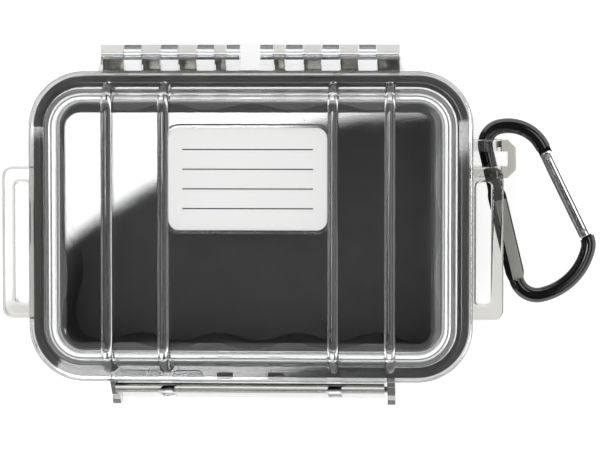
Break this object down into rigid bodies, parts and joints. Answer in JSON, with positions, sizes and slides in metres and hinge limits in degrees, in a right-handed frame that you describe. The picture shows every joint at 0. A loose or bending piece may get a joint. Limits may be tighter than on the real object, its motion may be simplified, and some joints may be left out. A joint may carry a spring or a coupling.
{
  "type": "compact hard case",
  "caption": "Compact rectangular hard case with a clear ribbed lid and base, a black rubber liner, a wide front latch, strap loops, a pressure valve and a snap hook on a side lug.",
  "frame": {"origin": "centre of the base's flat underside", "axes": "+X towards the snap hook's side, +Y towards the hinge, +Z out of the lid"},
  "size_m": [0.1728, 0.1055, 0.054],
  "materials": {
    "clear_base": "gloss",
    "clear_lid": "gloss",
    "clear_latch": "gloss",
    "rubber_liner": "matte",
    "seal_rubber": "matte",
    "label_white": "satin",
    "steel_pins": "satin",
    "steel_rivets": "satin",
    "spring_steel": "satin",
    "valve_plastic": "satin",
    "membrane_white": "matte",
    "anodised_hook": "gloss",
    "polished_gate": "gloss",
    "plunger_plastic": "matte"
  },
  "bodies": {
    "base": {"base_shell": "clear_base", "liner": "rubber_liner", "hinge_pin_left": "steel_pins", "hinge_pin_right": "steel_pins", "latch_pin": "steel_pins", "valve_body": "valve_plastic", "valve_nut": "valve_plastic", "valve_seal": "seal_rubber", "valve_membrane": "membrane_white", "valve_cap": "valve_plastic"},
    "lid": {"lid_shell": "clear_lid", "label_plate": "label_white"},
    "latch": {"latch": "clear_latch"},
    "clip": {"clip_body": "anodised_hook", "gate_rivet": "steel_rivets"},
    "gate": {"clip_gate": "polished_gate", "gate_nose_pin": "steel_rivets", "gate_spring": "spring_steel", "gate_plunger": "plunger_plastic"}
  },
  "joints": [
    {"name": "lid_hinge", "type": "hinge", "parent": "base", "child": "lid", "pos_m": [0, 0.0491, 0.0405], "axis": [-1, 0, 0], "range_deg": [0, 110]},
    {"name": "latch_hinge", "type": "hinge", "parent": "base", "child": "latch", "pos_m": [0, -0.0487, 0.025], "axis": [1, 0, 0], "range_deg": [0, 120]},
    {"name": "hook_swing", "type": "hinge", "parent": "base", "child": "clip", "pos_m": [0.0677, 0.0222, 0.024], "axis": [-0.2317, 0.9728, 0], "range_deg": [-60, 80]},
    {"name": "gate_hinge", "type": "hinge", "parent": "clip", "child": "gate", "pos_m": [0.08567, 0.01994, 0.024], "axis": [0, 0, -1], "range_deg": [0, 25], "stiffness_Nm_per_rad": 0.05, "springref_deg": -17.19}
  ]
}
